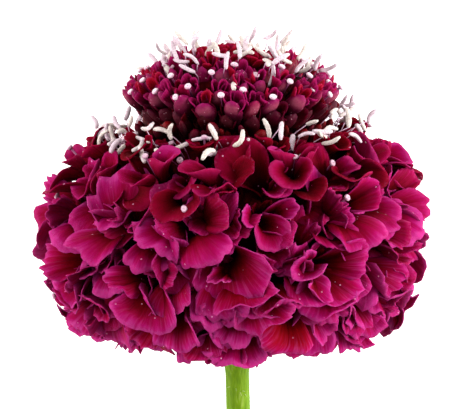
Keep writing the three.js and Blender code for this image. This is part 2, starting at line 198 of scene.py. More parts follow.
class Finish:
    """A material in the making. node() adds any node and gives one of its outputs."""

    def __init__(self, name):
        self.material = bpy.data.materials.new(name)
        self.material.use_nodes = True
        self.tree = self.material.node_tree
        self.surface = self.tree.nodes["Principled BSDF"]

    def node(self, kind, settings=None, sockets=None, output=0):
        made = self.tree.nodes.new(kind)
        for key, value in (settings or {}).items():
            if key == "stops":
                ramp = made.color_ramp.elements
                while len(ramp) < len(value):
                    ramp.new(1)
                for stop, (position, code) in zip(ramp, value.items()):
                    stop.position, stop.color = position, colour(code)
            else:
                setattr(made, key, value)
        self.join(made, sockets or {})
        return Signal(self, made.outputs[output])

    def join(self, made, sockets):
        for key, value in sockets.items():
            if isinstance(value, Signal):
                self.tree.links.new(value.socket, made.inputs[key])
            else:
                made.inputs[key].default_value = value

    def surfaced(self, **sockets):
        self.join(self.surface, {key.replace("_", " "): value for key, value in sockets.items()})

    def mark(self, name):
        return self.node("ShaderNodeAttribute", {"attribute_name": name}, output=2)

    def place(self):
        return self.node("ShaderNodeTexCoord", output=3)

    def vector(self, x, y, z):
        return self.node("ShaderNodeCombineXYZ", {}, {0: x, 1: y, 2: z})

    def noise(self, scale, detail=2, at=None):
        sockets = {"Vector": at or self.place(), "Scale": scale, "Detail": detail}
        return self.node("ShaderNodeTexNoise", {}, sockets)

    def cells(self, scale):
        return self.node("ShaderNodeTexVoronoi", {}, {"Vector": self.place(), "Scale": scale})

    def eased(self, value, low, high):
        sockets = {"Value": value, "From Min": low, "From Max": high}
        return self.node("ShaderNodeMapRange", {"interpolation_type": "SMOOTHSTEP"}, sockets)

    def ramp(self, value, stops):
        """The stops give a colour's code at each position, in rising order."""
        return self.node("ShaderNodeValToRGB", {"stops": stops}, {0: value})

    def mixed(self, first, second, factor):
        first, second = (colour(c) if isinstance(c, str) else c for c in (first, second))
        return self.node("ShaderNodeMix", {"data_type": "RGBA"}, {0: factor, 6: first, 7: second}, 2)

    def bump(self, height, distance):
        return self.node("ShaderNodeBump", {}, {"Height": height, "Distance": distance})


def bowed(points):
    along = np.clip(-points[..., 1] / STALK_LENGTH, 0, 1)
    return points + STALK_BOW * np.sin(math.pi * along)[..., None] * (1, 0, 0)


turns = around(STALK_SIDES)
ribs = 1 + 0.02 * np.cos(STALK_RIBS * turns) + 0.008 * np.cos(23 * turns + 1)


def stem_ring(height, radius, slant):
    ring = np.stack([np.cos(turns) * ribs, 0 * turns, np.sin(turns) * ribs], -1) * radius
    ring[:, 1] = height - slant * ring[:, 2] * math.tan(STALK_CUT)
    return ring


rings = [stem_ring(inset - STALK_LENGTH, STALK_RADIUS * share, 1) for share, inset in CUT_FACE.items()]
stem_rings = [(y, STALK_RADIUS * (1 + 0.015 * math.sin(y / 9))) for y in np.linspace(*PLAIN_STEM)]
for height, radius in stem_rings + SWELLING:
    rings.append(stem_ring(height, radius, max(0, 1 - (height + STALK_LENGTH) / SLANT_FADES)))
points = bowed(np.array(rings))
points = points + np.maximum(0.02 - HEART[2] - points @ UP, 0)[..., None] * UP
walls, foot, top = closed(len(rings), STALK_SIDES)
shares = np.repeat(list(CUT_FACE) + [1] * (len(rings) - len(CUT_FACE)), STALK_SIDES)
stalk = Growth()
stalk.add(points, [walls[:, (0, 3, 2, 1)], foot[:, ::-1], top[:, ::-1]], across=shares)

stem = Finish("stem_green")
where = stem.node("ShaderNodeMapping", {}, {"Vector": stem.place(), "Scale": (1, 0.06, 1)})
streaks = stem.noise(2600, 3, where)
patches = stem.noise(90)
skin = stem.mixed(STALK_DARK, STALK_GREEN, stem.eased(streaks + (patches - 0.5) * 0.5, 0.3, 0.62))
skin = stem.mixed(skin, STALK_PALE, stem.eased(streaks, 0.56, 0.72) * 0.45)
cut = stem.eased(stem.mark("across"), 0.97, 0.9)
pith = stem.mixed(STALK_PITH, "93ad4c", stem.eased(stem.mark("across"), 0.55, 0.9))
stem.surfaced(
    Base_Color=stem.mixed(skin, pith, cut),
    Roughness=0.5 + streaks * 0.2,
    Normal=stem.bump(streaks, 0.00025),
    Specular_IOR_Level=0.12,
)
stalk.grow("stalk_stem", "stalk", stem)

# Fine whitish hairs stand off the stalk, fewer towards its cut end. Each is a single tapered cell.
HAIRS = 520
HAIR_LENGTH = 0.75
HAIRS_FROM, HAIRS_OVER = -26, 134  # where they begin, and the length that they cover
HAIR_RADII = (0.045, 0.035, 0.012)
hairs = Growth()
draw = seeded(71)
for _ in range(HAIRS):
    height = HAIRS_FROM - HAIRS_OVER * draw() ** 1.2
    turn = 2 * math.pi * draw()
    radial = np.array([math.cos(turn), 0, math.sin(turn)])
    root = bowed(STALK_RADIUS * 0.97 * radial + (0, height, 0))
    if root @ UP + HEART[2] < 1.2:  # none where the stalk lies on the table
        continue
    length = HAIR_LENGTH * (0.6 + 0.7 * draw())
    lean = np.array([sway(draw, 0.25), sway(draw, 0.5) - 0.3, sway(draw, 0.25)])
    hairs.rod([root + radial * length * s + lean * length * s * s for s in (0, 0.5, 1)], HAIR_RADII, 3)
down = Finish("stem_hairs")
hair_tone = down.noise(3000, 1)
down.surfaced(Base_Color=down.mixed("b4c284", "d8dfb8", hair_tone), Roughness=0.5 + hair_tone * 0.2)
hairs.grow("stalk_hairs", "stalk", down)

# ---- Bracts ----
# A whorl of narrow leafy blades on top of the stalk, under the ruff. They are green, keeled along a
# midrib, thinner and a little lighter at their edges, and grow out of the receptacle.
BRACTS = 12
BRACT_LENGTH = 11
BRACT_HALF_WIDTH = 1.25
BRACT_GREEN = "5c8a1e"
BRACT_EDGE = "9db765"


def two_sided(columns, rows):
    """The faces of a sheet of columns by rows points on its face, then as many on its back."""
    at = np.arange(columns * rows).reshape(columns, rows)
    back = at + columns * rows

    def strip(a, b, c, d):
        return np.stack([a, b, c, d], -1).reshape(-1, 4)

    return [np.concatenate([
        strip(at[:-1, :-1], at[:-1, 1:], at[1:, 1:], at[1:, :-1]),
        strip(back[:-1, :-1], back[1:, :-1], back[1:, 1:], back[:-1, 1:]),
        strip(at[:-1, -1], back[:-1, -1], back[1:, -1], at[1:, -1]),
        strip(at[1:, 0], back[1:, 0], back[:-1, 0], at[:-1, 0]),
        strip(at[0, :-1], back[0, :-1], back[0, 1:], at[0, 1:]),
        strip(at[-1, 1:], back[-1, 1:], back[-1, :-1], at[-1, :-1]),
    ])]


def thickened(middle, thickness):
    """The two sides of a sheet whose middle is a grid of points, across by along."""
    around, outwards = np.gradient(middle, axis=(0, 1))
    normal = np.cross(outwards, around)
    normal /= np.maximum(np.linalg.norm(normal, axis=-1, keepdims=True), 1e-9)
    half = np.asarray(thickness)[..., None] / 2 * normal
    return np.concatenate([(middle + half).reshape(-1, 3), (middle - half).reshape(-1, 3)])


def rested(points, sole):
    """Points that would be lower than sole above the table lie down on it and spread outwards."""
    sunk = np.maximum(sole - HEART[2] - points @ UP, 0)[..., None]
    outward = points * (1, 1, 0)
    outward = outward / np.maximum(np.linalg.norm(outward, axis=-1, keepdims=True), 1e-6)
    return points + sunk * UP + 0.6 * sunk * outward


def out_at(azimuth, radius=1, height=0):
    """A point beside the flower's axis, at an angle round it from straight up."""
    return np.array([radius * math.sin(azimuth), height, radius * math.cos(azimuth)])


bracts = Growth()
draw = seeded(3)
BRACT_CELLS = (7, 12)
bract_faces = two_sided(*BRACT_CELLS)
across, along = np.linspace(-1, 1, BRACT_CELLS[0]), np.linspace(0, 1, BRACT_CELLS[1])
across, along = np.meshgrid(across, along, indexing="ij")
for i in range(BRACTS):
    azimuth = (i + sway(draw, 0.2)) / BRACTS * 2 * math.pi
    fall = math.radians(18 + sway(draw, 14))
    radial = out_at(azimuth)
    side = np.array([math.cos(azimuth), 0, -math.sin(azimuth)])
    ahead = radial * math.cos(fall) - (0, math.sin(fall), 0)
    above = radial * math.sin(fall) + (0, math.cos(fall), 0)
    width = BRACT_HALF_WIDTH * np.sin(math.pi * along ** 0.75) ** 0.7 + 0.05
    droop = -0.05 * BRACT_LENGTH * along ** 3 + 0.22 * np.abs(across) * width
    grid = (
        (radial * 2.6 + (0, -12, 0))
        + along[..., None] * BRACT_LENGTH * ahead
        + (across * width)[..., None] * side
        + droop[..., None] * above
    )
    bracts.add(
        rested(thickened(grid[::-1], 0.35 - 0.15 * np.abs(across)), 0.3), bract_faces,
        along=along, across=across, tint=i / BRACTS,
    )
leaf = Finish("bract_green")
across, along, tint = map(leaf.mark, ("across", "along", "tint"))
veins = leaf.noise(1.6, at=leaf.vector(across * 5, along * 0.8, tint * 40))
green = leaf.mixed("446f12", BRACT_GREEN, leaf.eased(veins, 0.3, 0.7))
leaf.surfaced(
    Base_Color=leaf.mixed(green, BRACT_EDGE, leaf.eased(across * across, 0.4, 1) * 0.7),
    Roughness=0.5 + veins * 0.15,
    Normal=leaf.bump(veins, 0.0002),
)
bracts.grow("bracts", "stalk", leaf)

# ---- Ruff core ----
# The receptacle inside the ruff, a spindle-shaped body set all over with the stumps and short
# bristles of the florets' outer cups. Its near-black red is painted shade for the deep gaps where it
# shows between the florets. It grows on the stalk, and every floret is rooted in it.
RUFF_CORE = [
    (-9.6, 0.02), (-9.6, 9), (-8.6, 17), (-4, 22.4), (4, 23.6), (10.5, 21.4), (15.4, 15), (17.9, 9),
    (17.9, 0.02),
]
CORE_SIDES = 60


def turned(profile, rings, knobbly):
    """A body of revolution about the flower's axis, from pairs of a height and a radius."""
    heights, radii = np.array(profile).T
    steps = np.linspace(0, len(profile) - 1, rings)[:, None]
    turns = around(CORE_SIDES)[None]
    rough = 1 + knobbly * np.sin(9 * turns + 5 * steps) * np.sin(3.5 * steps)
    radius = np.interp(steps, range(len(profile)), radii) * rough
    height = np.interp(steps, range(len(profile)), heights) + 0 * turns
    points = np.stack([radius * np.sin(turns), height, radius * np.cos(turns)], -1)
    return points, closed(rings, CORE_SIDES)[:1]


shaded_flesh = Finish("core_shaded_flesh")
grains = shaded_flesh.cells(900)
# painted shade: the core's near-black red stands in for the deep shade in the gaps between florets
shaded_flesh.surfaced(
    Base_Color=shaded_flesh.mixed("3c0204", "2a0002", shaded_flesh.eased(grains, 0.1, 0.6)),
    Roughness=0.7 + grains * 0.2,
    Normal=shaded_flesh.bump(grains, 0.0004),
    Specular_IOR_Level=0.02,
)
core = Growth()
core.add(*turned(RUFF_CORE, 56, 0.03))
core.grow("ruff_core", "ruff_florets", shaded_flesh)

# ---- Ruff florets ----
# Rows of florets round the ruff, each a funnel on a thin tube that parts into five thin, velvety
# petals. Near the neck they are young, smooth cups. Lower down they open wider and hang in layers
# like a skirt, with crimped, finely toothed rims. They are rooted in the receptacle.
PETALS = [  # kind, angle round the floret, width, share of the floret's length, and flare
    ("outer", 0, 84, 1, 92), ("side", 78, 68, 0.88, 80), ("inner", 146, 60, 0.46, 52),
    ("inner", 214, 60, 0.46, 52), ("side", 282, 68, 0.88, 80),
]
# The share of its flare that a petal opens to, row by row, and how much more a floret looks up, in
# degrees, than its row of solid funnels does.
OPENING = {
    "outer": (0.4, 0.62, 0.86, 1, 1, 0.95, 0.8),
    "side": (0.36, 0.46, 0.5, 0.52, 0.64, 0.72, 0.72),
    "inner": (0.28, 0.28, 0.24, 0.18, 0.16, 0.16, 0.16),
}
LOOK_UP = (4, 12, 17, 18, 18, 16, 16)
FULLER = (0.95, 1.12, 1.22, 1.12, 1.06, 1.04, 1)  # how many times as long its petals grow
TUCKED = (0, 0, 1.5, 2.6, 2.2, 1.5, 0.5)  # how much nearer the flower's axis its florets open
RAISED = (0.4, 0.5, 0.2, 0, 0.3, 1.2, 2.2)  # and how much higher
THROAT_ANGLE = math.radians(9)  # how far from the floret's axis its petals start out
OPEN_FLARE = math.radians(84)  # and how far from it a wide open petal ends
SUNK = 0.92  # how deep the throats lie, as a share of an evenly bent funnel's depth
TUBE_LENGTH = 7.5
TUBE_RADII = {0: 0.6, 0.35: 0.62, 0.7: 0.7, 0.9: 0.8, 1: 0.86}  # along it, from its root
RUFF_LEAN = math.radians(3)  # the upper rows sit a little askew
LEAN_END = -16  # how far down that fades away
# The round outline that the petals keep to: the hem's height at distances from the axis, the
# distance at heights, and the heights that they may reach over the ruff and round the neck.
HEM_AT = (0, 17, 22.5, 26.5, 29.5, 31, 34)
HEM = (-17.2, -17.8, -17.6, -15.4, -12.8, -10, -3)
ROUND_AT = (-12, -7, -3, 2, 6, 9.5, 12, 14, 16, 18, 20, 23)
ROUND = (31, 32.4, 33.6, 34.3, 33.8, 32.4, 30.4, 28.6, 26.6, 25, 22.5, 19)
TOP_AT = (0, 16, 22, 25.5, 28, 30)
TOP = (17.8, 18, 19.4, 19, 18, 30)
NECK_RADII = (0, 9.5, 16, 24)
NECK_HEIGHTS = (18, 18, 19.3, 22.5)
RUFF_ROWS = [dict(zip(("count", "radius", "height", "rise", "length"), sizes)) for sizes in (
    (11, 16.8, 18, 60, 4.4),
    (12, 21.6, 17.6, 50, 6),
    (12, 26.5, 13.6, 32, 8.5),
    (12, 31, 7, 14, 11.5),
    (11, 32, -2, -6, 12.5),
    (10, 30, -9.5, -24, 13),
    (8, 24, -15.5, -48, 11),
)]
PETAL_CELLS = {"large": (25, 10), "medium": (17, 8), "small": (10, 7)}
LARGE_ABOVE, SMALL_BELOW = 8, 4.5
PETAL_FACES = {size: two_sided(*cells) for size, cells in PETAL_CELLS.items()}


def eased(value, low, high):
    """0 below low, 1 above high and a smooth step between."""
    share = np.clip((value - low) / (high - low), 0, 1)
    return share * share * (3 - 2 * share)


def neck_height(points):
    """How high the ruff reaches under the crown, at a point's distance from the axis."""
    return np.interp(np.hypot(points[..., 0], points[..., 2]), NECK_RADII, NECK_HEIGHTS)


def within_ruff(points, slack):
    """Petals bend back where they would grow into the crown or far out of the ruff's outline."""
    bent = points.copy()
    distance = np.hypot(points[..., 0], points[..., 2])
    bent[..., 1] -= 0.8 * np.maximum(bent[..., 1] - np.interp(distance, TOP_AT, TOP) - min(slack, 0.6), 0)
    bent[..., 1] -= np.maximum(bent[..., 1] - neck_height(points), 0) * eased(distance, 24.5, 23)
    bent[..., 1] += 0.5 * np.maximum(np.interp(distance, HEM_AT, HEM) - slack - bent[..., 1], 0)
    beyond = np.maximum(distance - np.interp(bent[..., 1], ROUND_AT, ROUND) - slack, 0)
    kept = 1 - 0.5 * beyond / distance
    return bent * np.stack([kept, 1 + 0 * kept, kept], -1)


def leant(row):
    """How the florets of a row are turned about the line of sight."""
    lean = RUFF_LEAN * min(1, max(0, 1 - row["height"] / LEAN_END))
    return np.array([[math.cos(lean), -math.sin(lean), 0], [math.sin(lean), math.cos(lean), 0], [0, 0, 1]])


def funnel_depth(length, flare):
    return length * (math.sin(flare) - math.sin(THROAT_ANGLE)) / (flare - THROAT_ANGLE)


def floret_at(azimuth, rise, rim, length, draw):
    """A floret's own frame, X to its outer side and Z along its axis, with its petals' draws."""
    radial = out_at(azimuth)
    axis = radial * math.cos(rise) + (0, math.sin(rise), 0)
    outer = radial * math.sin(rise) - (0, math.cos(rise), 0)
    size = length * (1 + sway(draw, 0.09))
    roll = math.radians(sway(draw, 14))
    petals = [{
        "kind": kind, "middle": math.radians(middle), "width": math.radians(width),
        "size": share * (1 + sway(draw, 0.08)), "flare": math.radians(flare + sway(draw, 12)),
        "curl": -1 if sway(draw) < 0 else 1,
    } for kind, middle, width, share, flare in PETALS]
    basis = np.array([outer, np.cross(axis, outer), axis])
    return {"basis": basis, "rim": rim, "length": size, "roll": roll, "petals": petals}


def petal_grid(floret, petal, cells, form, twist):
    """The middle of one petal, as points across by along, in the floret's own frame. It bends
    outwards from throat to rim, round the floret, and its form says how ragged its rim is and how
    its blade is waved, cupped, curled back and turned."""
    across = np.linspace(-1, 1, cells[0])[:, None]
    along = (np.linspace(0, 1, cells[1]) ** 0.88)[None]
    length = floret["length"]
    roundness = (1 - np.abs(across) ** form["square"]) ** 0.6
    knots = twist.random(cells[0] // 2 + 1)
    scallops = np.interp(across, np.linspace(-1, 1, len(knots)), knots)
    teeth = form["teeth"] * (scallops + 0.4 * twist.random(cells[0])[:, None] - 0.7)
    waist = 1 - form["dip"] * np.exp(-(across / 0.16) ** 2)
    phases = twist.random(3) * 2 * math.pi
    edge = 1 + teeth + form["uneven"] * np.sin(2.4 * across + phases[2])
    reach = petal["size"] * (form["notch"] + (1 - form["notch"]) * roundness) * waist * edge
    path = along * reach * length
    bend = (petal["flare"] - THROAT_ANGLE) / length
    rolled = form["recurve"] * eased(along, 0.6, 1) + form["askew"] * across * eased(along, 0.5, 1)
    angle = THROAT_ANGLE + bend * path + rolled
    step = np.diff(path, axis=1)
    middle = (angle[:, 1:] + angle[:, :-1]) / 2
    start = np.zeros((cells[0], 1))
    out = np.concatenate([start, np.cumsum(np.sin(middle) * step, axis=1)], axis=1)
    up = np.concatenate([start, np.cumsum(np.cos(middle) * step, axis=1)], axis=1)
    broad = petal["curl"] * 0.05 * along ** 2 * np.sin(math.pi * across / 1.2)
    fold = form["waves"] * math.pi * across + phases[0]
    waves = form["ruffle"] * along ** 1.8 * (np.sin(fold) + 0.3 * np.sin(2.7 * fold + phases[1]))
    crimp = form["crimp"] * along ** 5 * np.sin(3.1 * form["waves"] * math.pi * across + phases[1])
    cup = form["cup"] * along ** 1.3 * (np.abs(across) ** 1.8 - 0.3)
    lift = length * petal["size"] * (broad + waves + crimp + cup) + form["over"] * across * along
    spread = petal["width"] / 2 * (1 + form["overlap"] * eased(along, 0.05, 0.8))
    turn = floret["roll"] + petal["middle"] + across * spread + form["swirl"] * along ** 2
    radius = form["throat"] + out - lift * np.cos(angle)
    grid = np.stack([radius * np.cos(turn), radius * np.sin(turn), up + lift * np.sin(angle)], -1)
    return grid, *np.broadcast_arrays(across, along)


def ruff_form(kind, age, twist):
    """The form of one petal, drawn for its floret's age, which is 0 at the neck and 1 at the hem."""
    calm = 0.4 if kind == "inner" else 1
    return {
        "notch": 0.5 + 0.25 * age * twist.random(), "square": 2.4 + 3 * age * twist.random(),
        "dip": 0.2 * max(0, twist.random() - 0.5), "uneven": twist.uniform(0.02, 0.12),
        "teeth": (0.015 + 0.12 * eased(age, 0.2, 0.7)) * calm, "overlap": twist.uniform(0, 0.35),
        "over": 0.4, "throat": 0.75,
        "ruffle": (0.02 + 0.045 * age) * twist.uniform(0.5, 1.6) * calm,
        "waves": 0.9 + 0.7 * twist.random() + 0.9 * age * twist.random(),
        "crimp": 0.018 * age * twist.uniform(0.4, 1.3), "swirl": twist.uniform(-0.2, 0.2),
        "cup": twist.uniform(-0.05, 0.5) - 0.26 * age, "recurve": twist.uniform(-0.2, 0.5),
        "askew": twist.uniform(-0.3, 0.3),
    }


draw = seeded(14)
twist = np.random.default_rng(21)
ruff_florets = []
spots = [(r, row, i) for r, row in enumerate(RUFF_ROWS) for i in range(row["count"])]
for r, row, i in spots:
    azimuth = (i + r % 2 / 2 + sway(draw, 0.2)) / row["count"] * 2 * math.pi
    height = row["height"] + sway(draw, 0.9)
    rise = math.radians(row["rise"] + LOOK_UP[r] + sway(draw, 7))
    aside = math.radians(sway(draw, 9))
    rim = out_at(azimuth, row["radius"], height)
    floret = floret_at(azimuth + aside, rise, rim, row["length"], draw)
    ruff_florets.append({**floret, "row": r, "crowded": twist.uniform(0.8, 1.04)})

# Between them stand as many more, a little deeper and narrower, that show only their outer petal and
# one beside it.
for r, row, i in spots:
    azimuth = (i + r % 2 / 2 + 0.5 + twist.uniform(-0.15, 0.15)) / row["count"] * 2 * math.pi
    height = row["height"] + twist.uniform(-2.2, 1.6)
    rise = math.radians(row["rise"] + LOOK_UP[r] + twist.uniform(-12, 12))
    rim = out_at(azimuth, row["radius"] - twist.uniform(0.4, 1.8), height)
    aside = math.radians(twist.uniform(-12, 12))
    floret = floret_at(azimuth + aside, rise, rim, row["length"] * twist.uniform(0.84, 0.98), draw)
    floret["roll"] += twist.uniform(-0.5, 0.5)
    floret["petals"] = [floret["petals"][0], floret["petals"][1 + 3 * twist.integers(2)]]
    ruff_florets.append({**floret, "row": r, "crowded": twist.uniform(0.45, 0.95)})

# Single petals of more florets, hidden deeper, fill the gaps from row to row. The first of them stand
# up over the throats as upper lips. Two steps that never fall in with each other spread them evenly.
SHEETS = 300
UPRIGHT = 66
EVEN_SHARE = 0.755
EVEN_TURN = 0.5698
for i in range(SHEETS):
    upright = i < UPRIGHT
    spread = i * EVEN_SHARE % 1
    at_row = 2.3 + 2.5 * spread if upright else min(6, 2 + 4.4 * spread)
    place = {key: np.interp(at_row, range(7), [row[key] for row in RUFF_ROWS]) for key in RUFF_ROWS[0]}
    azimuth = i * EVEN_TURN * 2 * math.pi
    radius = place["radius"] - twist.uniform(0.2, 2.2)
    rim = out_at(azimuth, radius, place["height"] + twist.uniform(-1, 1))
    rise = math.radians(place["rise"] + LOOK_UP[round(at_row)] + twist.uniform(-14, 14))
    aside = twist.uniform(-0.5, 0.5)
    floret = floret_at(azimuth + aside, rise, rim, place["length"] * twist.uniform(0.85, 1.02), draw)
    if upright:
        floret["roll"] += math.pi + twist.uniform(-0.7, 0.7)
        floret["crowded"] = twist.uniform(0.4, 0.8)
    else:
        floret["roll"] += twist.uniform(-0.8, 0.8)
        floret["crowded"] = twist.uniform(0.7, 1.0)
    ruff_florets.append({**floret, "row": round(at_row), "petals": floret["petals"][:1]})

velvet = Finish("ruff_velvet")
along, across, face, tint, shade, age = map(velvet.mark, Growth.MARKS)
pleats = velvet.noise(1.5, 3, velvet.vector(across * 5 + tint * 61, along * 1.1, tint * 17))
threads = velvet.noise(1.5, 2, velvet.vector(across * 17 + tint * 61, along * 1.8, tint * 17))
mottle = velvet.noise(420, 3)
gills = velvet.eased(age, 0.25, 0.9)
rich = velvet.node("ShaderNodeTexWhiteNoise", {"noise_dimensions": "1D"}, {"W": tint})
tone = along + (pleats - 0.5) * 0.26 * along + (threads - 0.5) * gills * 0.16 * along ** 3
tone = tone + (mottle - 0.5) * 0.16 + (rich - 0.5) * 0.26 * along
# The ramps run from near-black red at the throat to lilac-magenta at the rim: partly the petals' own colour,
# partly painted shade down in the deep throats and a painted lilac sheen on the rims. The bud and young
# ramps, for the rows by the neck, are darker partly as painted shade under the crown.
bud = velvet.ramp(tone, {0: "120000", 0.4: "220000", 0.64: "3a0004", 0.84: "58000c", 1: "700018"})
young = velvet.ramp(tone, {
    0: "140000", 0.36: "280000", 0.58: "460004", 0.78: "6a0014", 0.93: "800028", 1: "8a0434",
})
ripe = velvet.ramp(tone, {
    0: "120000", 0.33: "240000", 0.5: "3e0002", 0.64: "5e000e", 0.77: "7a0028", 0.87: "8c0242",
    0.95: "980e5a", 1: "a4266e",
})
warm = velvet.ramp(tone, {
    0: "160000", 0.3: "2c0000", 0.46: "4a0001", 0.62: "6c0008", 0.76: "7e0018", 0.87: "8c0232",
    0.95: "940a4a", 1: "9c1c60",
})
petal_face = velvet.mixed(ripe, warm, velvet.eased(tint, 0.62, 0.9) * velvet.eased(age, 0.5, 0.8))
petal_face = velvet.mixed(young, petal_face, velvet.eased(age + (tint - 0.5) * 0.3, 0.2, 0.55))
petal_face = velvet.mixed(bud, petal_face, velvet.eased(age + (tint - 0.5) * 0.2, 0.16, 0.46))
petal_back = velvet.ramp(tone, {0: "180000", 0.32: "3a0005", 0.57: "64001c", 0.8: "860a46", 1: "982468"})
petal_back = velvet.mixed(young, petal_back, velvet.eased(age, 0.25, 0.6))
skin = velvet.mixed(petal_back, petal_face, face)
streaked = velvet.eased(threads, 0.45, 0.75) * velvet.eased(along, 0.55, 0.95) * velvet.eased(age, 0.3, 0.8)
skin = velvet.mixed(skin, "b84084", streaked * 0.3)
# A pale lilac along the rims of the lower rows: partly their own pale edge, partly a painted lilac sheen.
frost_and_sheen = velvet.eased(along, 0.93, 1) * velvet.eased(velvet.noise(2600), 0.45, 0.62)
skin = velvet.mixed(skin, "c86aa4", frost_and_sheen * velvet.eased(age, 0.1, 0.6) * 0.14)
# painted shade: near-black red where the shade mark is low, deep in the ruff near its axis
skin = velvet.mixed("240001", skin, velvet.eased(shade, 0, 0.6))
dust = (velvet.cells(620) < 0.1) * 0.6 * velvet.eased(mottle, 0.5, 0.6)
velvet.surfaced(
    Base_Color=velvet.mixed(skin, "dfa0c4", dust),
    Roughness=0.6 + pleats * 0.25,
    Normal=velvet.bump(pleats * 0.7 + threads * gills * 0.15, 0.0003),
    Subsurface_Weight=0.1, Subsurface_Scale=0.001, Subsurface_Radius=(1, 0.05, 0.3),
    Specular_IOR_Level=0.02,
)

# Where petals lie on the table, they do so in layers, one above the other.
LAYERS = 7
LOWEST, APART = 0.2, 0.13
layer = 0
for r, row in enumerate(RUFF_ROWS):
    rows = Growth()
    # 0 at the neck, 1 at the hem: it shapes the petals and sets their colour, darker near the neck partly as
    #                              painted shade
    age = r / (len(RUFF_ROWS) - 1)
    lean = leant(row)
    for floret in (f for f in ruff_florets if f["row"] == r):
        for petal in floret["petals"]:
            petal["flare"] *= OPENING[petal["kind"]][r] * floret["crowded"] * twist.uniform(0.75, 1.25)
            petal["size"] *= twist.uniform(0.85, 1.13)
        flares = (OPEN_FLARE, floret["petals"][0]["flare"])
        depth = SUNK * max(funnel_depth(row["length"], flare) for flare in flares)
        axis = floret["basis"][2]
        shifted = (0, RAISED[r], 0) - TUCKED[r] * unit(floret["rim"] * (1, 0, 1))
        floret["throat"] = floret["rim"] + shifted - axis * depth
        floret["length"] *= FULLER[r]
        for petal in floret["petals"]:
            inner = petal["kind"] == "inner"
            reach = petal["size"] * floret["length"]
            size = "small" if reach < SMALL_BELOW or inner else "large" if reach > LARGE_ABOVE else "medium"
            form = ruff_form(petal["kind"], age, twist)
            grid, across, along = petal_grid(floret, petal, PETAL_CELLS[size], form, twist)
            placed = (grid @ floret["basis"] + floret["throat"]) @ lean.T
            layer = (layer + 1) % LAYERS
            placed = rested(within_ruff(placed, twist.uniform(-1, 1.5)), LOWEST + APART * layer)
            # painted shade: the shade mark is lower nearer the axis, deep in the ruff
            shade = 0.35 + 0.65 * eased(np.hypot(placed[..., 0], placed[..., 2]), 14, 26)
            rows.add(
                thickened(placed, 0.3 - 0.14 * along), PETAL_FACES[size], age=age, tint=twist.random(),
                along=along * (0.62 if inner else 1),  # the inner ones stay darker
                across=across, shade=shade, face=np.repeat([1, 0], along.size),
            )
        foot, mouth = floret["throat"] - axis * TUBE_LENGTH, floret["throat"] + axis * 0.6
        tube = np.array([foot + (mouth - foot) * s for s in TUBE_RADII]) @ lean.T
        # the tubes get half the painted shade
        rows.rod(tube, TUBE_RADII.values(), 9, reach=0.3, tint=twist.random(), shade=0.5, age=age)
    rows.grow(f"ruff_row_{r + 1}", "ruff_florets", velvet)

# ---- Neck buds ----
# The youngest florets, hidden in the neck between ruff and crown: small dark red clubs whose petals
# are still closed over their tips. They stand on the receptacle.
NECK_BUDS = 80
BUD_CELLS = (11, 11)


def club(clubs, basis, at, width, length, flat, age, twist):
    """A closed or hooded floret: a tapering club with a domed end. flat is its thickness."""
    sides, rings = BUD_CELLS
    share = np.linspace(0, 1, rings)[:, None] ** 0.9
    turns = around(sides)[None]
    swell = 0.3 + 0.7 * eased(share, 0.05, 0.66)
    dome = np.sqrt(np.clip(1 - np.clip((share - 0.52) / 0.48, 0, 1) ** 2.1, 0.0016, 1))
    radius = width * swell * dome
    drift = 0.35 * width * eased(share, 0.2, 1)
    grid = np.stack([
        radius * np.cos(turns) * flat + drift, radius * np.sin(turns), (share - 1) * length + 0 * turns,
    ], -1)
    clubs.add(
        grid.reshape(-1, 3) @ basis + at, closed(rings, sides), along=np.repeat(share.ravel(), sides),
        across=np.tile(np.cos(turns).ravel(), rings), tint=twist.random(), age=age,
    )


def any_side(direction, twist):
    """A unit vector square to a direction, at random."""
    return unit(np.cross(direction, twist.normal(size=3)))


waxy = Finish("bud_wax")
cloud, grain = waxy.noise(800), waxy.noise(3400)
tone = waxy.mark("along") + (cloud - 0.5) * 0.3
dark_red = waxy.ramp(tone, {0: "040000", 0.55: "200001", 0.8: "4c0005", 1: "74000c"})
plum = waxy.ramp(tone, {0: "040001", 0.55: "1c0006", 0.8: "400012", 1: "60001e"})
waxy.surfaced(
    Base_Color=waxy.mixed(dark_red, plum, waxy.eased(waxy.mark("tint"), 0.55, 0.8)),
    Roughness=0.4 + grain * 0.25,
    Normal=waxy.bump(grain, 0.0001),
    Specular_IOR_Level=0.1,
)
twist = np.random.default_rng(33)
buds = Growth()
for i in range(NECK_BUDS):
    radial = out_at(i * EVEN_TURN * 2 * math.pi)
    radius = 12 + 6 * (i * EVEN_SHARE % 1)
    lean = unit(radial + twist.uniform((-0.2, 0.9, -0.2), (0.2, 1.7, 0.2)))
    side = any_side(lean, twist)
    at = radial * radius + (0, 17.9 + 0.14 * radius + twist.uniform(-0.8, 0.8), 0)
    basis = np.array([side, np.cross(lean, side), lean])
    club(buds, basis, at, twist.uniform(0.6, 1.25), 4.6, twist.uniform(0.6, 0.95), 0, twist)
buds.grow("neck_buds", "ruff_florets", waxy)

# ---- Anthers and stigmas of the ruff ----
# Round the neck open florets push out stamens, thin lilac threads that end in pale, mealy anthers as
# bent as small bananas. All over the ruff, but most near the neck, there are styles with a round,
# dished knob. They all grow out of the florets' throats.
RUFF_TUFTS = 28
ANTHER_LENGTH = 3.3
ANTHER_RADIUS = 0.45
FILAMENT_RADIUS = 0.1
STIGMA_RADIUS = 0.6
KNOB_SIDES = 12
KNOB_PROFILE = [  # shares of that radius, out from and along the style, over the rim into the dish
    (0.3, -0.5), (0.75, -0.42), (1, -0.1), (0.98, 0.2), (0.78, 0.42), (0.5, 0.4), (0.25, 0.26), (0.04, 0.24),
]


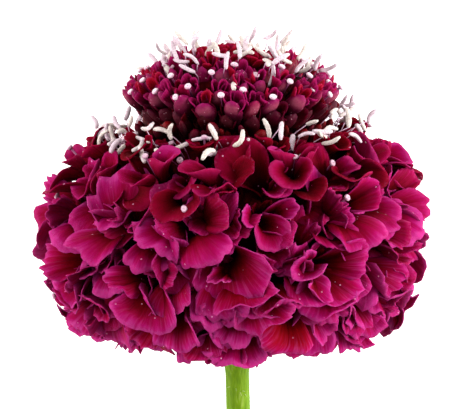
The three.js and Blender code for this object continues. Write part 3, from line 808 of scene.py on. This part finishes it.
def curve(control, count):
    """Points on a smooth curve through the control points."""
    control = np.asarray(control, float)
    ends = np.concatenate([2 * control[:1] - control[1:2], control, 2 * control[-1:] - control[-2:-1]])
    spans = len(control) - 1
    places = np.linspace(0, spans - 1e-9, count)
    k = places.astype(int)
    t = (places - k)[:, None]
    a, b, c, d = ends[k], ends[k + 1], ends[k + 2], ends[k + 3]
    squared, cubed = 2 * a - 5 * b + 4 * c - d, 3 * b - a - 3 * c + d
    return 0.5 * (2 * b + (c - a) * t + squared * t ** 2 + cubed * t ** 3)


def stamen(sacs, threads, root, direction, length, upright, twist):
    """A filament from its root, and its bent anther, held somewhere between one end and its middle."""
    lean = any_side(direction, twist)
    joint = root + direction * length + lean * twist.uniform(0, 0.22) * length
    middle = root + direction * length * 0.5 - lean * 0.06 * length
    radii = np.linspace(1, 0.75, 9) * FILAMENT_RADIUS
    threads.rod(curve([root, middle, joint], 9), radii, 5, tint=twist.random())
    side = any_side(direction, twist)
    ahead = unit(direction * twist.uniform(upright - 0.6, upright + 0.6) + side * twist.uniform(0.2, 1))
    bow = any_side(ahead, twist) * twist.uniform(0.05, 0.8)
    half = ANTHER_LENGTH * twist.uniform(0.42, 0.56)
    held = twist.uniform(-1, -0.3)
    bar = [joint + ahead * half * (s - held) + bow * (s * s - held * held) for s in (-1, -0.4, 0.2, 1)]
    share = np.linspace(-1, 1, 12)
    swell = ANTHER_RADIUS * (1 - np.abs(share) ** 5 * 0.5) * twist.uniform(0.82, 1.12)
    swell = swell * (1 + 0.07 * np.sin(share * 17 + twist.random() * 6))
    sacs.rod(curve(bar, 12), swell, 8, flat=twist.uniform(0.7, 0.95), tint=twist.random())


def knob(knobs, threads, root, direction, length, shade, twist):
    """A style from its root that ends in a stigma, a thick disc with a shallow dish in its middle."""
    tip = root + direction * length
    style = [root, root + direction * length * 0.5, tip]
    threads.rod(style, [0.16, 0.14, 0.2], 5, reach=0.3, tint=twist.random())
    turns = around(KNOB_SIDES)
    side = any_side(direction, twist)
    other = np.cross(direction, side)
    stretch = twist.uniform(0.85, 1.15)
    ring = np.outer(np.cos(turns), side) * stretch + np.outer(np.sin(turns), other) / stretch
    rings = [tip + STIGMA_RADIUS * (out * ring + up * direction) for out, up in KNOB_PROFILE]
    count = len(rings)
    along = np.repeat(np.linspace(0, 1, count), KNOB_SIDES)
    knobs.add(np.concatenate(rings), closed(count, KNOB_SIDES), along=along, tint=twist.random(), shade=shade)


mealy = Finish("anther_meal")
meal, blush = mealy.noise(5200, 3), mealy.noise(500, 1)
cream = mealy.mixed("cabab2", "e6dad2", mealy.eased(meal, 0.35, 0.6))
pink = mealy.mixed("c8aeb8", "e2ced6", mealy.eased(meal, 0.35, 0.6))
mealy.surfaced(
    Base_Color=mealy.mixed(cream, pink, mealy.eased(mealy.mark("tint") + (blush - 0.5) * 0.6, 0.3, 0.6)),
    Roughness=0.8 + meal * 0.15,
    Normal=mealy.bump(meal, 0.00015),
    Specular_IOR_Level=0.1,
)
thread = Finish("filament_lilac")
lilac = thread.noise(900)
towards_tip = thread.eased(thread.mark("along") + (lilac - 0.5) * 0.4, 0.3, 0.9)
thread.surfaced(Base_Color=thread.mixed("7c2c5c", "dcb4cc", towards_tip), Roughness=0.4 + lilac * 0.2)
dished = Finish("stigma_wax")
wax = dished.noise(2600)
rim = dished.eased(dished.mark("along"), 0.55, 0.68) - dished.eased(dished.mark("along"), 0.78, 0.95)
pale, dim = (
    dished.mixed(dished.mixed(low, high, dished.eased(wax, 0.3, 0.7)), rim_colour, rim * 0.7)
    for low, high, rim_colour in (("c490a8", "e4c4d0", "f0dce4"), ("94587a", "b8889e", "c8a4b4"))
)
dished.surfaced(
    Base_Color=dished.mixed(pale, dim, dished.mark("shade")),
    Roughness=0.45 + wax * 0.2,
    Normal=dished.bump(wax, 0.00008),
)

twist = np.random.default_rng(21)
sacs, threads, knobs = Growth(), Growth(), Growth()
for i in range(RUFF_TUFTS):
    radial = out_at((i + twist.uniform(-0.3, 0.3)) / RUFF_TUFTS * 2 * math.pi)
    for _ in range(twist.integers(2, 5)):
        root = radial * twist.uniform(13.5, 17) + (twist.uniform(-1.5, 1.5), 13.4, twist.uniform(-1.5, 1.5))
        rise = math.radians(twist.uniform(28, 46))
        direction = radial * math.cos(rise) + (0, math.sin(rise), 0) + 0.16 * twist.normal(size=3)
        root = root @ leant(RUFF_ROWS[0]).T
        stamen(sacs, threads, root, unit(direction), twist.uniform(7.4, 10), 0.1, twist)
for i, floret in enumerate(f for f in ruff_florets if len(f["petals"]) > 1):
    if i % (2 if floret["row"] < 4 else 5) == 0:
        lean = leant(RUFF_ROWS[floret["row"]])
        axis = floret["basis"][2]
        root = (floret["throat"] - 1.5 * axis) @ lean.T
        reach = 1.5 + twist.uniform(0.55, 0.85) * floret["length"]
        knob(knobs, threads, root, axis @ lean.T, reach, 0.7, twist)
sacs.grow("ruff_anthers", "ruff_florets", mealy)
threads.grow("ruff_filaments", "ruff_florets", thread)
knobs.grow("ruff_stigmas", "ruff_florets", dished)

# ---- Crown core ----
# The top of the receptacle, a low dome past the neck. Its near-black red is painted shade between
# the florets that stand on it.
CROWN_CORE = [(18.4, 0.02), (18.4, 9), (21, 12.4), (24.2, 14.4), (27.2, 11.8), (29.2, 6.4), (30.0, 0.02)]
dome = Growth()
dome.add(*turned(CROWN_CORE, 30, 0))
dome.grow("crown_core", "crown_florets", shaded_flesh)

# ---- Crown florets ----
# Small florets that stand all over the crown, like a fan from below. On its side each is a waxy club,
# the hooded outer petal, with rounded spoon-shaped petals behind it. On its top they are short, open
# and upright. They grow out of the receptacle.
CROWN_RADIUS = 18.7
CROWN_MIDDLE = 25.3
CROWN_RISE = 7.8
CROWN_PEAK = 1.25  # 1 would make its top round, and 2 a cone
CROWN_DROP = 5
CROWN_ROOT = 9  # the florets point away from here
CROWN_PITCH = 4.15  # from floret to floret
CLUB_WIDTH = 1.68
CLUB_LENGTH = 8
TOP_ENDS = math.radians(40)  # from here on down the florets are clubs
CROWN_ENDS = math.radians(138)
SPOON_WIDTH = math.radians(84)
# Behind a club: angles round its tube, each with how deep a spoon is rooted and its flare's range.
SPOONS_BEHIND = {98: (5.5, 12, 26), 262: (5.5, 12, 26), 150: (4.8, 4, 20), 210: (4.8, 4, 20)}
SPOON_CELLS = (9, 7)
SPOON_FACES = two_sided(*SPOON_CELLS)


def crown_spot(fall, azimuth):
    """Where the crown's surface is, at an angle down from its top, and the way a floret points."""
    above = fall < math.pi / 2
    radius = CROWN_RADIUS * math.sin(fall) ** (CROWN_PEAK if above else 1)
    rise = CROWN_RISE * math.cos(fall) ** CROWN_PEAK if above else CROWN_DROP * math.cos(fall)
    at = out_at(azimuth, radius, CROWN_MIDDLE + rise)
    return at, unit(at - (0, CROWN_ROOT, 0)), radius


def over_neck(points):
    """Crown florets that would grow into the ruff bend flat above it."""
    raised = points.copy()
    raised[..., 1] = np.maximum(points[..., 1], neck_height(points) + 0.4)
    return raised


def spoon(spoons, basis, at, petal, shade, age, twist):
    """A small rounded petal that rises from a floret's tube. Its petal gives the angle round the
    tube in degrees, the length and the flare."""
    middle, length, flare = petal
    floret = {"length": length, "roll": 0}
    petal = {
        "middle": math.radians(middle), "width": SPOON_WIDTH, "size": 1, "flare": math.radians(flare),
        "curl": 1,
    }
    form = {
        "notch": 0.5, "square": 2.5, "dip": 0, "teeth": 0.02, "uneven": 0.04, "overlap": 0.25, "over": 0.1,
        "throat": 0.6, "ruffle": 0.015, "waves": 1.5, "crimp": 0, "cup": twist.uniform(-0.1, 0.2),
        "swirl": twist.uniform(-0.15, 0.15), "recurve": twist.uniform(-0.3, 0.1),
        "askew": twist.uniform(-0.2, 0.2),
    }
    grid, across, along = petal_grid(floret, petal, SPOON_CELLS, form, twist)
    spoons.add(
        thickened(over_neck(grid @ basis + at), 0.26 - 0.1 * along), SPOON_FACES,
        along=along, across=across, tint=twist.random(), shade=shade, age=age,
    )


# They stand ring below ring, from the top down. One in ten of the spoons is missing.
twist = np.random.default_rng(5)
clubs, spoons, tops = Growth(), Growth(), Growth()
fall = math.radians(6)
while fall < CROWN_ENDS:
    count = max(1, round(2 * math.pi * crown_spot(fall, 0)[2] / CROWN_PITCH))
    start = twist.random()
    # painted shade: florets low on the crown, down in the neck, are darkened as this falls to 0
    age = eased(fall, math.radians(122), math.radians(96))
    for i in range(count):
        azimuth = (i + start + twist.uniform(-0.2, 0.2)) / count * 2 * math.pi
        at, direction, _ = crown_spot(fall + math.radians(twist.uniform(-6, 6)), azimuth)
        at = at + direction * twist.uniform(-1, 0.4)
        lean = unit(direction + 0.12 * twist.normal(size=3))
        outer = np.cross(np.cross(lean, (0, -1, 0)), lean)
        outer = unit(outer) if np.linalg.norm(outer) > 0.05 else any_side(lean, twist)
        spin = twist.normal() * 0.4
        outer = outer * math.cos(spin) + np.cross(lean, outer) * math.sin(spin)
        basis = np.array([outer, np.cross(lean, outer), lean])
        if fall > TOP_ENDS:
            width = CLUB_WIDTH * twist.uniform(0.76, 1.14)
            club(clubs, basis, over_neck(at), width, CLUB_LENGTH, twist.uniform(0.5, 0.7), age, twist)
            for middle, (deep, least, most) in SPOONS_BEHIND.items():
                if twist.random() < 0.9:
                    flare = twist.uniform(least, most)
                    petal = (middle + twist.uniform(-12, 12), twist.uniform(4.8, 5.8), flare)
                    spoon(spoons, basis, at - lean * deep, petal, 0.4, age, twist)
        else:
            sunk = at - lean * 1.2
            for middle in range(0, 360, 72):
                flare = twist.uniform(6, 34)
                petal = (middle + twist.uniform(-14, 14), twist.uniform(3, 4.2), flare)
                spoon(tops, basis, sunk - lean * 2.4, petal, 1, age, twist)
            tube = [sunk - lean * 6, sunk - lean * 4, sunk - lean * 2.2]
            tops.rod(tube, [0.6, 0.6, 0.62], 7, reach=0.3, tint=twist.random(), shade=1, age=age)
    fall += CROWN_PITCH / math.hypot(CROWN_RADIUS * math.cos(fall), CROWN_RISE * math.sin(fall))

hooded = Finish("club_wax")
along, across, tint = map(hooded.mark, ("along", "across", "tint"))
cloud, grain = hooded.noise(800), hooded.noise(3400)
tone = along + (cloud - 0.5) * 0.25
plum = hooded.ramp(tone, {
    0: "060001", 0.4: "1c0008", 0.6: "3e0018", 0.78: "64002e", 0.92: "780040", 1: "84084e",
})
red = hooded.ramp(tone, {0: "060000", 0.4: "260004", 0.65: "50000e", 1: "7c0024"})
body = hooded.mixed(plum, red, hooded.eased(tint, 0.7, 0.95))
blotch = hooded.eased(along, 0.62, 0.8) - hooded.eased(along, 0.86, 0.97)
blotch = blotch * hooded.eased(across + (cloud - 0.5) * 0.6, 0.2, 0.85)
body = hooded.mixed(body, "ac5268", blotch * (0.2 + grain * 0.5) * hooded.eased(tint, 0.1, 0.4))
# painted shade: clubs low on the crown, in the neck, go near-black red
body = hooded.mixed("300004", body, hooded.mark("age"))
flecks = (hooded.cells(1500) < 0.16) * hooded.eased(cloud, 0.46, 0.58)
hooded.surfaced(
    Base_Color=hooded.mixed(body, "d9a3ae", flecks * 0.5),
    Roughness=0.42 + grain * 0.25,
    Normal=hooded.bump(grain, 0.0001),
    Subsurface_Weight=0.08, Subsurface_Scale=0.001, Subsurface_Radius=(1, 0.1, 0.35),
    Specular_IOR_Level=0.1,
)

silky = Finish("spoon_silk")
along, across, tint = map(silky.mark, ("along", "across", "tint"))
cloud = silky.noise(700)
ribs = silky.noise(1.4, 2, silky.vector(across * 8 + tint * 50, along * 1.2, tint * 9))
tone = along + (cloud - 0.5) * 0.3 + (ribs - 0.5) * 0.25 * along
plum = silky.ramp(tone, {0: "080001", 0.4: "260008", 0.66: "540020", 0.88: "7c0238", 1: "8e1050"})
crimson = silky.ramp(tone, {0: "0a0000", 0.35: "2c0003", 0.62: "62000c", 0.88: "880018", 1: "9c0c34"})
chosen = silky.eased(tint + silky.mark("shade"), 0.9, 1.3)
silky.surfaced(
    # painted shade: spoons low on the crown, in the neck, go near-black red
    Base_Color=silky.mixed("3c0006", silky.mixed(plum, crimson, chosen), silky.mark("age")),
    Roughness=0.5 + ribs * 0.2,
    Normal=silky.bump(ribs, 0.0003),
    Subsurface_Weight=0.1, Subsurface_Scale=0.001, Subsurface_Radius=(1, 0.08, 0.3),
    Specular_IOR_Level=0.04,
)
clubs.grow("crown_clubs", "crown_florets", hooded)
spoons.grow("crown_spoons", "crown_florets", silky)
tops.grow("crown_top_florets", "crown_florets", silky)

# ---- Anthers and stigmas of the crown ----
# Tufts of pale anthers stand up all over the crown's top on thin threads, fanning outwards, and pale
# round stigmas look out between the clubs. They are as those of the ruff.
CROWN_TUFTS = 27
CROWN_STIGMAS = 46
GOLDEN_ANGLE = 137.5  # in degrees, from each tuft to the next
GOLDEN_SHARE = 0.618
twist = np.random.default_rng(9)
sacs, threads, knobs = Growth(), Growth(), Growth()
for i in range(CROWN_TUFTS):
    fall = math.radians(10 + 48 * math.sqrt((i + 0.5) / CROWN_TUFTS))
    at, direction, _ = crown_spot(fall, math.radians(i * GOLDEN_ANGLE + 20))
    for _ in range(twist.integers(2, 5)):
        aim = direction + twist.uniform((-0.3, 0, -0.3), (0.3, 0.5, 0.3))
        root = at - direction * 3 + 1.1 * twist.normal(size=3)
        stamen(sacs, threads, root, unit(aim), twist.uniform(1.9, 3.6), 0.8, twist)
for i in range(CROWN_STIGMAS):
    fall = math.radians(44 + 50 * (i * GOLDEN_SHARE % 1))
    at, direction, _ = crown_spot(fall, (i + twist.uniform(-0.4, 0.4)) / CROWN_STIGMAS * 2 * math.pi)
    knob(knobs, threads, at - direction * 3, direction, twist.uniform(2.6, 3.2), 0, twist)
sacs.grow("crown_anthers", "crown_florets", mealy)
threads.grow("crown_filaments", "crown_florets", thread)
knobs.grow("crown_stigmas", "crown_florets", dished)

# ---- Studio ----
# A plain white table that glows a little, so that it stays white under the flower, soft light from
# large panels, and a camera that looks down on the flower where it lies.
FRAME_WIDTH = 80.0
CAMERA_DISTANCE = 600
CAMERA_TILT = math.radians(3.3)
CAMERA_AIM = (-0.17, 5.26)  # how far right of the flower's heart, and how far above it in view
PANEL_SIZE = 0.5
BLOOM = (0, 0.066, 0.035)  # where the lights point, in metres
PANELS = {
    "key": ((-0.2, 0.5, 0.7), 2.4),
    "fill_right": ((0.65, 0.1, 0.34), 9.3),
    "fill_left": ((-0.65, 0.1, 0.34), 5.2),
}
bpy.ops.mesh.primitive_plane_add(size=6)
table = bpy.context.object
table.name = "table"
table.location.z = -0.0002  # so that the lowest petals don't share its plane
tabletop = Finish("table_white")
tabletop.surfaced(
    Base_Color=(0.9, 0.9, 0.9, 1), Roughness=0.9, Emission_Color=(1, 1, 1, 1), Emission_Strength=0.8
)
table.data.materials.append(tabletop.material)

studio = bpy.data.worlds.new("studio")
studio.use_nodes = True
sky = studio.node_tree.nodes["Background"]
sky.inputs[0].default_value = (1, 1, 1, 1)
sky.inputs[1].default_value = 0.37
bpy.context.scene.world = studio
bpy.context.scene.view_settings.view_transform = "Standard"


def set_up(name, data, place, look):
    """A light or camera at a place, in metres, that looks along a direction."""
    thing = bpy.data.objects.new(name, data)
    thing.location = place
    thing.rotation_mode = "QUATERNION"
    thing.rotation_quaternion = Vector(look).to_track_quat("-Z", "Y")
    bpy.context.scene.collection.objects.link(thing)
    return thing


for name, (place, power) in PANELS.items():
    light = bpy.data.lights.new(name, "AREA")
    light.size, light.energy = PANEL_SIZE, power
    set_up(name, light, place, np.array(BLOOM) - np.array(place))

lens = bpy.data.cameras.new("camera")
lens.lens = lens.sensor_width * CAMERA_DISTANCE / FRAME_WIDTH
lens.clip_start, lens.clip_end = 0.05, 20
upward = np.array([0, math.cos(CAMERA_TILT), math.sin(CAMERA_TILT)])
back = np.array([0, -math.sin(CAMERA_TILT), math.cos(CAMERA_TILT)])
aim = HEART + upward * CAMERA_AIM[1] + (CAMERA_AIM[0], 0, 0)
bpy.context.scene.camera = set_up("camera", lens, (aim + back * CAMERA_DISTANCE) / 1000, -back)
